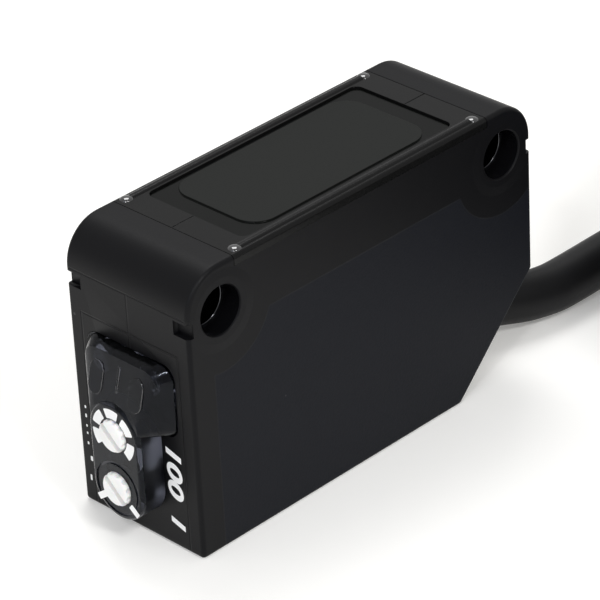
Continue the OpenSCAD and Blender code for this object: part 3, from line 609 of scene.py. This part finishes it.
class SENSOR_OT_cable(bpy.types.Operator):
    """Cable with its bush, stripped cores and tie"""
    bl_idname = "sensor.cable"
    bl_label = "Cable"

    def execute(self, context):
        finish, sizes = context.scene.sensor_finish, context.scene.sensor_sizes
        coil = Coil(sizes.cable_length / MM)
        # PVC jacket, extruded: black with a dull satin sheen and a very fine drawn-out grain
        jacket = moulded("pvc_extruded_black_jacket", finish.jacket, 0.3, 0.004, 0.48, level=0.18)
        fine = 2 * STEPS_PER_TURN
        wound = [coil.point(i / fine) for i in range(int(coil.end * fine) + 1)]
        cable = tube("cable", [smooth_through(LEAD, 3) + wound], sizes.cable_diameter / 2, jacket,
                     ("cable_lead", "cable_coil"), 6)

        for k, core, code in ((-1, "brown", "#5a3420"), (0, "blue", "#24489c"), (1, "black", "#151516")):
            # PVC insulation, extruded over the wires: evenly coloured and a little shinier than the jacket
            skin = moulded(f"pvc_extruded_{core}_core", colour(code), 0.25, 0.003, 0.4)
            # Inside the case each core leaves the bush, rises at its own place and turns to the main board
            x, y, bend = BUSH_IN - 1.4 - 0.1 * (k + 1), k * 1.15, 0.5
            rise = EXIT_V + 1.4 + 1.3 * (1 - k)
            inner = [(BUSH_IN + 1.2, y * 0.6, EXIT_V), (BUSH_IN, y, EXIT_V), (x + bend, y, EXIT_V),
                     (x, y, EXIT_V + bend), (x, y, rise - bend), (x, y + bend, rise), (x, BOARD_Y, rise)]
            tail = [coil.tail(k, 0.3 + CORE_OUT * i / 24) for i in range(25)]
            tube(f"{core}_core_lead", [smooth_through(inner, 5), tail], sizes.core_diameter / 2,
                             skin, (f"{core}_core",))

        # Tinned copper wires, drawn and twisted: bright grey with fine lines along each wire
        wire = metal("copper_tinned_drawn_strands", colour("#c9c4ba"), 0.05, 0.3)
        # In each core six wires lie twisted round a seventh
        wires = []
        for k in (-1, 0, 1):
            for n in range(7):
                lay = []
                for i in range(13):
                    run_on = CORE_OUT + STRIPPED * i / 12
                    centre = coil.tail(k, run_on)
                    ahead = (coil.tail(k, run_on + 0.1) - centre).normalized()
                    side = ahead.cross(Vector((0, 0, 1))).normalized()
                    a = math.tau * (n / 6 + i / 14)
                    off = 0.0 if n == 6 else 2 * WIRE_R
                    lay.append(centre + off * (math.cos(a) * side + math.sin(a) * ahead.cross(side)))
                wires.append(lay)
        tube("twisted_strands", wires, WIRE_R * MM, wire, ("core_strands",), 2)

        # Nylon tie, moulded: dull black, waxy
        nylon = moulded("nylon_moulded_black_tie", colour("#18181a"), 0.4, 0.01, 0.5)
        piece("coil_band", node_copy("coil_tie"), nylon,
                          stands_for=("coil_tie",), edge=0.15 * MM)
        # Nitrile bush, moulded: deeper black and quite dull
        rubber = moulded("nitrile_moulded_black_bush", colour("#121213"), 0.25, 0.008, 0.6, level=0.3)
        piece("exit_bush", node_copy("cable_bush"), rubber,
              stands_for=("cable_bush",), edge=0.05 * MM)
        return {"FINISHED"}


class SENSOR_OT_case(bpy.types.Operator):
    """Moulded case"""
    bl_idname = "sensor.case"
    bl_label = "Case"

    def execute(self, context):
        black = context.scene.sensor_finish.case
        case = piece("moulded_case", node_copy("case"), case_plastic(black),
                     stands_for=("case",), crease=30)
        # The same PBT off polished core pins: glossy bores that throw back what little light gets in
        gloss = moulded("pbt_moulded_black_bore", black, 0.4, 0.002, 0.14, 0.04, level=0.5)
        case.data.materials.append(gloss)
        for face in case.data.polygons:
            x, _, z = face.center / MM
            if math.hypot(abs(x) - HOLE_X, z - HOLE_Z) < HOLE_R + 0.02:
                face.material_index = 1
        # Turned steel sleeves, plated: dark down in the bores, but their rounded rims glint there
        steel = metal("steel_plated_turned_sleeve", colour("#57585b"), 0.06, 0.13)
        sleeves = []
        for x in (-HOLE_X, HOLE_X):
            bm = bmesh.new()
            rim = [bm.verts.new((r, y, 0)) for r, y in (
                (SLEEVE_OUT, -SLEEVE_HALF), (SLEEVE_IN, -SLEEVE_HALF),
                (SLEEVE_IN, SLEEVE_HALF), (SLEEVE_OUT, SLEEVE_HALF))]
            bm.faces.new(rim)
            cornered(bm, rim, 0.055)
            bmesh.ops.delete(bm, geom=bm.faces[:], context="FACES_ONLY")
            bmesh.ops.spin(bm, geom=[*bm.verts, *bm.edges], cent=(0, 0, 0), axis=(0, 1, 0), angle=math.tau,
                           steps=64, use_merge=True)
            bmesh.ops.remove_doubles(bm, verts=bm.verts[:], dist=1e-4)
            bmesh.ops.recalc_face_normals(bm, faces=bm.faces[:])
            sleeves.append(moved(bm, Matrix.Scale(MM, 4) @ Matrix.Translation((x, 0, HOLE_Z))))
        piece("bore_sleeves", joined(sleeves), steel)
        return {"FINISHED"}


class SENSOR_OT_lens_face(bpy.types.Operator):
    """Front cover with its rails, and the dark window"""
    bl_idname = "sensor.lens_face"
    bl_label = "Lens face"

    def parting(self, side):
        """Cutter for the fine groove along the middle of one bar."""
        bm = bmesh.new()
        bmesh.ops.create_cube(bm, size=MM, matrix=Matrix.Translation(Vector((side * 11.5, 0, 20.0)) * MM)
                              @ Matrix.Diagonal((4, 0.07, 0.08, 1)))
        return bm

    def execute(self, context):
        finish, edge = context.scene.sensor_finish, context.scene.sensor_sizes.edge
        # ABS, moulded in a lightly polished tool: black and smoother than the case
        cover = moulded("abs_moulded_black_front_cover", finish.lens_frame, 0.2, 0.003, 0.24, 0.05,
                        level=0.15)
        form = combined(node_copy("front_cover"), [self.parting(side) for side in (-1, 1)], "DIFFERENCE")
        piece("lens_frame", form, cover, stands_for=("front_cover",), edge=edge)
        # The rails' ball ends, rubbed bright: gloss black under a hard skin, so each shows a lamp as a glint
        bright = moulded("abs_polished_black_rail_end", colour("#08080a"), 0.3, 0.001, 0.08, 0.03,
                         Coat_Weight=1.0, Coat_IOR=1.8, Coat_Roughness=0.03)
        ends = []
        for x, y in ((-BALL_X, -BALL_Y), (BALL_X, -BALL_Y), (-BALL_X, BALL_Y), (BALL_X, BALL_Y)):
            bm = bmesh.new()
            place = Matrix.Translation(Vector((x, y, BALL_Z)) * MM) @ Matrix.Diagonal((1, 1, 0.42, 1))
            bmesh.ops.create_uvsphere(bm, u_segments=32, v_segments=16, radius=BALL_R * MM, matrix=place)
            ends.append(bm)
        piece("rail_ball_ends", joined(ends), bright)
        # Tinted acrylic, moulded: black with a green cast and a glossy border, which is painted darker as
        # painted shade for its dark reflections. The raised field over the lenses has the tool's fine matt
        # grain and keeps the full tint, so it looks paler
        tint, tree, shader, place = new_material("acrylic_moulded_dark_window", Specular_IOR_Level=0.11)
        height = add_node(tree, "SeparateXYZ", {0: place}, out="Z")
        matt_and_painted_pale = add_node(tree, "MapRange", {"Value": height, "From Min": 19.88 * MM, "From Max": 19.92 * MM})
        grain = add_node(tree, "TexNoise", {"Vector": place, "Scale": 1 / (0.15 * MM), "Detail": 2})
        # Painted shade: the glossy border gets about a third of the tint's colour, and the matt field gets
        # all of it
        tone = add_node(tree, "Mix", {
            0: matt_and_painted_pale, 6: shade(finish.window, 0.35), 7: shade(finish.window, 1)}, out=2, data_type="RGBA")
        gloss = add_node(tree, "Mix", {0: matt_and_painted_pale, 2: 0.14, 3: 0.42})
        gloss = add_node(tree, "Math", {0: grain, 1: 0.1, 2: gloss}, operation="MULTIPLY_ADD")
        tooth = add_node(tree, "Math", {0: grain, 1: matt_and_painted_pale}, operation="MULTIPLY")
        bump = add_node(tree, "Bump", {"Height": tooth, "Strength": 1, "Distance": 0.004 * MM})
        link(tree, shader, Base_Color=tone, Roughness=gloss, Normal=bump)
        piece("dark_window", node_copy("window"), tint, stands_for=("window",), edge=edge / 2)
        return {"FINISHED"}


class SENSOR_OT_clear_cover(bpy.types.Operator):
    """Clear cover over the lamps and round the knobs"""
    bl_idname = "sensor.clear_cover"
    bl_label = "Clear cover"

    def material_of(self, face):
        """A face's material: 1 in the wells, 2 on the boss's wall, 3 on the lenses' edges, 0 elsewhere."""
        u, v, d = face.calc_center_median()
        from_well = min(math.hypot(u, v - SENS_V) - SENS_R, math.hypot(u, v - MODE_V) - MODE_R)
        if d < BOSS_FRONT - 0.01 and from_well < 0.08:
            return 1
        from_spine = math.hypot(u, v - min(max(v, MODE_V), SENS_V))
        if 0.05 < d < BOSS_FRONT - 0.3 and abs(from_spine - BOSS_R) < 0.05:
            return 2
        above = (v - HEAD_KNEE[0]) * math.sin(HEAD_LEAN) + (d - HEAD_KNEE[1]) * math.cos(HEAD_LEAN)
        top = RIB_RISE if abs(u) < 0.5 else LENS_RISE
        return 3 if v > SENS_V + 2.3 and 0.003 < above < top - 0.005 else 0

    def execute(self, context):
        middle, high = (0, (HEAD_LOW + HEAD_TOP) / 2), HEAD_TOP - HEAD_LOW
        foot = plate(HEAD_WIDE, high, 0.9, middle, -0.5, 0.02)
        boss = stadium(BOSS_R, MODE_V, SENS_V, -0.5, BOSS_FRONT)
        rounded(boss, 0.3, 60, 6, above=BOSS_FRONT - 0.1)
        # The head is the hull of three thin plates: its outline, the brow and the knee
        head = joined([
            plate(HEAD_WIDE, high, 1.2, middle, 0, 0.1),
            plate(6.4, 2.2, 1.05, (0, HEAD_BROW[0] - 1.1), HEAD_BROW[1] - 0.1, HEAD_BROW[1]),
            plate(4.2, 1.2, 0.45, (0, HEAD_KNEE[0] - 0.6), HEAD_KNEE[1] - 0.1, HEAD_KNEE[1]),
        ])
        hull = bmesh.ops.convex_hull(head, input=head.verts[:])
        bmesh.ops.delete(head, geom=list({*hull["geom_interior"], *hull["geom_unused"]}), context="VERTS")
        bmesh.ops.dissolve_limit(head, angle_limit=math.radians(1), verts=head.verts[:], edges=head.edges[:])
        rounded(head, 0.3, 20, 5)
        # On the leaning front: a round-topped lens over each lamp and a thin rib between them
        on_front = Matrix.Translation((0, *HEAD_KNEE)) @ Matrix.Rotation(-HEAD_LEAN, 4, "X")
        lenses = [stadium(0.6, 1.2, 2.3, -0.5, LENS_RISE, s * 0.9 * LAMP_U, 40) for s in (-1, 1)]
        lenses.append(plate(0.22, 1.8, 0.1, (0.1, 2.2), -0.4, RIB_RISE, 4))
        for form in lenses:
            rounded(form, LENS_EDGE, 60, 4, above=0)
            moved(form, on_front)
        cover = combined(foot, [boss, head, *lenses], "UNION")
        cuts = []
        for v, r in ((SENS_V, SENS_R), (MODE_V, MODE_R)):
            cuts += [disc(r + WELL_PLAY, (0, v), WELL_FLOOR, 3), disc(STEM_HOLE, (0, v), -1, 2)]
        cuts += [disc(GUIDE_HOLE, (s * LAMP_U, LAMP_V), -1, WELL_FLOOR) for s in (-1, 1)]
        step = disc(STEP_OUT, (0, MODE_V), BOSS_FRONT - STEP_DEPTH, 3)
        cuts.append(combined(step, [disc(STEP_IN, (0, MODE_V), 0, 4)], "DIFFERENCE"))
        cover = combined(cover, cuts, "DIFFERENCE")
        for face in cover.faces:
            face.material_index = self.material_of(face)
        clear = piece("clear_lamp_cover", cover, clear_polycarbonate("polycarbonate_clear_polished", 0.065),
                      stands_for=("indicator_cover",), place=END)
        for material in (
            # In the wells: an opaque dark blue-grey, softly glossy, so that the white stems don't shine
            # through
            moulded("polycarbonate_dark_well_wall", colour("#22242d"), 0.3, 0.002, 0.3),
            # The same on the boss's wall, drawn off the tool: satin, so what lies behind it is blurred
            clear_polycarbonate("polycarbonate_clear_satin_wall", 0.4),
            # The same on the edges of the lenses and the rib, brightened by polish: faint light lines
            clear_polycarbonate("polycarbonate_clear_bright_edge", 0.1, 1.75, (1, 1, 1, 1)),
        ):
            clear.data.materials.append(material)
        return {"FINISHED"}


class SENSOR_OT_knobs(bpy.types.Operator):
    """White slotted knobs"""
    bl_idname = "sensor.knobs"
    bl_label = "Knobs"

    def execute(self, context):
        sizes = context.scene.sensor_sizes
        # Acetal, moulded: milky white and waxy, softly shiny
        acetal = moulded("acetal_moulded_white_knob", context.scene.sensor_finish.knob, 0.3, 0.004, 0.35,
                         Subsurface_Weight=0.15, Subsurface_Scale=0.3 * MM)
        # Name, axis height, radius, the turn of the blade and that of the slot, body
        for name, v, r, rest, lie, body in (
            ("sensitivity_knob", SENS_V, SENS_R, -40, -42, "sensitivity_adjuster"),
            ("mode_knob", MODE_V, MODE_R, -30, -43, "mode_selector"),
        ):
            head = disc(r, (0, 0), 1.0, KNOB_FRONT)
            rounded(head, 0.22, 60, 4, above=KNOB_FRONT - 0.1)
            slot = plate(4, sizes.slot_width / MM, 0.02, (0, 0), KNOB_FRONT - 0.5, 3, 2)
            # Twelve scallops, with their middles just outside the rim
            scallops = [disc(0.22, ((r + 0.13) * math.cos(a), (r + 0.13) * math.sin(a)), 1.2, 3, 24)
                        for a in (math.radians(30 * n) for n in range(12))]
            head = combined(head, [slot, *scallops], "DIFFERENCE")
            moved(head, Matrix.Rotation(math.radians(lie - rest), 4, "Z"))
            stem = disc(0.7, (0, 0), -1.57, 1.2, 48)
            blade = plate(1.3, 0.5, 0.05, (0, 0), -2.3, -1.5, 2)
            whole = combined(head, [stem, blade], "UNION")
            place = END @ Matrix.Translation((0, v, 0)) @ Matrix.Rotation(math.radians(rest), 4, "Z")
            piece(name + "_lobed", whole, acetal, body, (name,), place,
                  edge=1.5 * sizes.edge)
        return {"FINISHED"}


class SENSOR_OT_marks(bpy.types.Operator):
    """Printed dial, end marks and plain numbers"""
    bl_idname = "sensor.marks"
    bl_label = "Printed marks"

    def execute(self, context):
        thick = context.scene.sensor_sizes.print_height / MM
        # Pad-printed ink: flat and chalky white
        ink = moulded("pad_print_white_ink", context.scene.sensor_finish.ink, 0.1, 0.002, 0.6, level=0.3)
        # The dial's segments: middle and width in degrees
        dial = []
        for middle, width in ((200, 37), (147, 39), (93, 41), (39, 41), (-23, 43)):
            bm = bmesh.new()
            start = math.radians(middle - width / 2)
            ends = [bm.verts.new((r * math.cos(start), r * math.sin(start), 0)) for r in (DIAL_IN, DIAL_OUT)]
            edge = bm.edges.new(ends)
            bmesh.ops.spin(bm, geom=[*ends, edge], cent=(0, 0, 0), axis=(0, 0, 1),
                           angle=math.radians(width), steps=10)
            bmesh.ops.dissolve_faces(bm, faces=bm.faces[:])
            cornered(bm, [v for v in bm.verts if v.calc_edge_angle() > math.radians(60)], 0.09)
            dial.append(moved(raised(bm, thick), Matrix.Translation((0, SENS_V, BOSS_FRONT))))
        for degrees in (216, -38):
            turn = Matrix.Rotation(math.radians(degrees), 4, "Z")
            dial.append(moved(plate(0.85, 0.45, 0.06, (1.8, 0), 0, thick, 3),
                              Matrix.Translation((0, MODE_V, BOSS_FRONT)) @ turn))
        piece("dial_marks", joined(dial), ink, place=END)

        # A row of small ticks on the left: their u, v, width and height
        numbers = [plate(wide, high, 0.04, (u, v), 0, thick, 3) for u, v, wide, high in (
            (-4.65, 7.2, 0.13, 0.2), (-4.65, 6.55, 0.13, 0.26), (-4.65, 5.8, 0.13, 0.17),
            (-4.65, 5.25, 0.13, 0.17), (-4.65, 4.5, 0.14, 0.2), (-4.45, 3.4, 0.2, 0.34),
            (-4.65, 1.9, 0.15, 0.42))]
        # Number, lowest and highest u, lowest and highest v
        for digits, u0, u1, v0, v1 in (("100", 2.6, 3.95, 3.6, 7.3), ("1", 2.7, 3.9, 1.45, 2.2)):
            words = bpy.data.curves.new("digits", "FONT")
            words.body, words.shear, words.offset = digits, 0.2, 0.03
            holder = placed("digits", words)
            context.view_layer.update()
            mesh = bpy.data.meshes.new_from_object(holder.evaluated_get(context.evaluated_depsgraph_get()))
            bm = bmesh.new()
            bm.from_mesh(mesh)
            bpy.data.objects.remove(holder)
            bpy.data.curves.remove(words)
            bpy.data.meshes.remove(mesh)
            bmesh.ops.remove_doubles(bm, verts=bm.verts[:], dist=1e-5)
            low = Vector(min(v.co[i] for v in bm.verts) for i in range(3))
            high = Vector(max(v.co[i] for v in bm.verts) for i in range(3))
            fit = Matrix.Translation((u0, v1, 0)) @ Matrix.Rotation(-math.pi / 2, 4, "Z") \
                @ Matrix.Diagonal(((v1 - v0) / (high.x - low.x), (u1 - u0) / (high.y - low.y), 1, 1)) \
                @ Matrix.Translation(-low)
            numbers.append(raised(moved(bm, fit), thick))
        piece("end_numbers", joined(numbers), ink, place=END)
        return {"FINISHED"}


class SENSOR_OT_insides(bpy.types.Operator):
    """Boards, optics, lamps, seals and trimmers"""
    bl_idname = "sensor.insides"
    bl_label = "Insides"

    def execute(self, context):
        # Seals dull black, lenses and light guides water-clear, chips and holders matt and dark, lamps of
        # coloured glassy epoxy, plated metal shining with fine marks along it
        rubber = moulded("nitrile_moulded_black_seal", colour("#141415"), 0.4, 0.002, 0.5, level=0.2)
        acrylic = moulded("acrylic_moulded_clear_lens", colour("#e9eef0"), 1.0, 0.001, 0.06, 0.03,
                          IOR=1.49, Transmission_Weight=1.0)
        finishes = {
            "front_seal": rubber, "cover_seal": rubber, "sensitivity_o_ring": rubber, "mode_o_ring": rubber,
            "emitter_lens": acrylic, "receiver_lens": acrylic, "light_guides": acrylic,
            "optics_block": moulded(
                "polycarbonate_moulded_black_holder", colour("#121213"), 0.2, 0.006, 0.6, level=0.3),
            "emitter_led": moulded(
                "epoxy_cast_red_emitter", colour("#b0342a"), 0.5, 0.002, 0.15, 0.05, Transmission_Weight=0.6),
            "receiver_photodiode": moulded("silicon_die_in_epoxy", colour("#20222e"), 0.6, 0.002, 0.2, 0.05),
            "receiver_shield": metal("steel_tinned_pressed_shield", colour("#b5b4ae"), 0.08, 0.35),
            "optics_board": circuit_board("xy"), "main_board": circuit_board("xz"),
            "adjuster_board": circuit_board("yz"),
            "signal_ic": moulded("epoxy_moulded_chip", colour("#19191b"), 0.1, 0.006, 0.55),
            "output_transistors": moulded("epoxy_moulded_transistor", colour("#1b1b1c"), 0.1, 0.006, 0.5),
            "chip_parts": moulded("ceramic_fired_chip_parts", colour("#8a7560"), 0.15, 0.004, 0.5),
            "link_pins": metal("brass_gold_plated_pins", colour("#d8b25c"), 0.06, 0.28),
            "trimmer_body": moulded("pbt_moulded_dark_blue_trimmer", colour("#141a2a"), 0.2, 0.006, 0.5),
            "switch_body": moulded("pbt_moulded_dark_grey_switch", colour("#18191b"), 0.2, 0.006, 0.5),
            "trimmer_rotor": moulded("pbt_moulded_white_rotor", colour("#dddcd6"), 0.2, 0.004, 0.45),
            "switch_rotor": moulded("pbt_moulded_white_selector", colour("#dad9d3"), 0.2, 0.004, 0.45),
        }
        for lamp, hue, code in (("operation", "orange", "#d0792b"), ("stability", "green", "#57a046")):
            finishes[lamp + "_led"] = moulded(
                f"epoxy_cast_{hue}_lamp", colour(code), 0.5, 0.002, 0.2, 0.05, Transmission_Weight=0.4)
        for node, material in finishes.items():
            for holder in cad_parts[node].material_slots:
                holder.material = material
        return {"FINISHED"}


class SENSOR_PT_build(bpy.types.Panel):
    """Buttons for each step"""
    bl_idname = "SENSOR_PT_build"
    bl_label = "Photoelectric sensor"
    bl_space_type = "VIEW_3D"
    bl_region_type = "UI"
    bl_category = "Sensor"

    def draw(self, context):
        for settings in (context.scene.sensor_finish, context.scene.sensor_sizes, context.scene.sensor_stage):
            box = self.layout.box()
            for name in settings.__annotations__:
                box.prop(settings, name)
        for step in STEPS:
            self.layout.operator(step.bl_idname)


STEPS = (SENSOR_OT_stage, SENSOR_OT_cable, SENSOR_OT_case, SENSOR_OT_lens_face, SENSOR_OT_clear_cover,
         SENSOR_OT_knobs, SENSOR_OT_marks, SENSOR_OT_insides)
CLASSES = (SensorFinish, SensorSizes, SensorStage, *STEPS, SENSOR_PT_build)


def register():
    for item in CLASSES:
        bpy.utils.register_class(item)
    bpy.types.Scene.sensor_finish = bpy.props.PointerProperty(type=SensorFinish)
    bpy.types.Scene.sensor_sizes = bpy.props.PointerProperty(type=SensorSizes)
    bpy.types.Scene.sensor_stage = bpy.props.PointerProperty(type=SensorStage)


def unregister():
    del bpy.types.Scene.sensor_stage, bpy.types.Scene.sensor_sizes, bpy.types.Scene.sensor_finish
    for item in reversed(CLASSES):
        bpy.utils.unregister_class(item)


def main():
    register()
    bpy.ops.sensor.stage()
    bpy.ops.sensor.cable()
    bpy.ops.sensor.case()
    bpy.ops.sensor.lens_face()
    bpy.ops.sensor.clear_cover()
    bpy.ops.sensor.knobs()
    bpy.ops.sensor.marks()
    bpy.ops.sensor.insides()


if __name__ == "__main__":
    main()
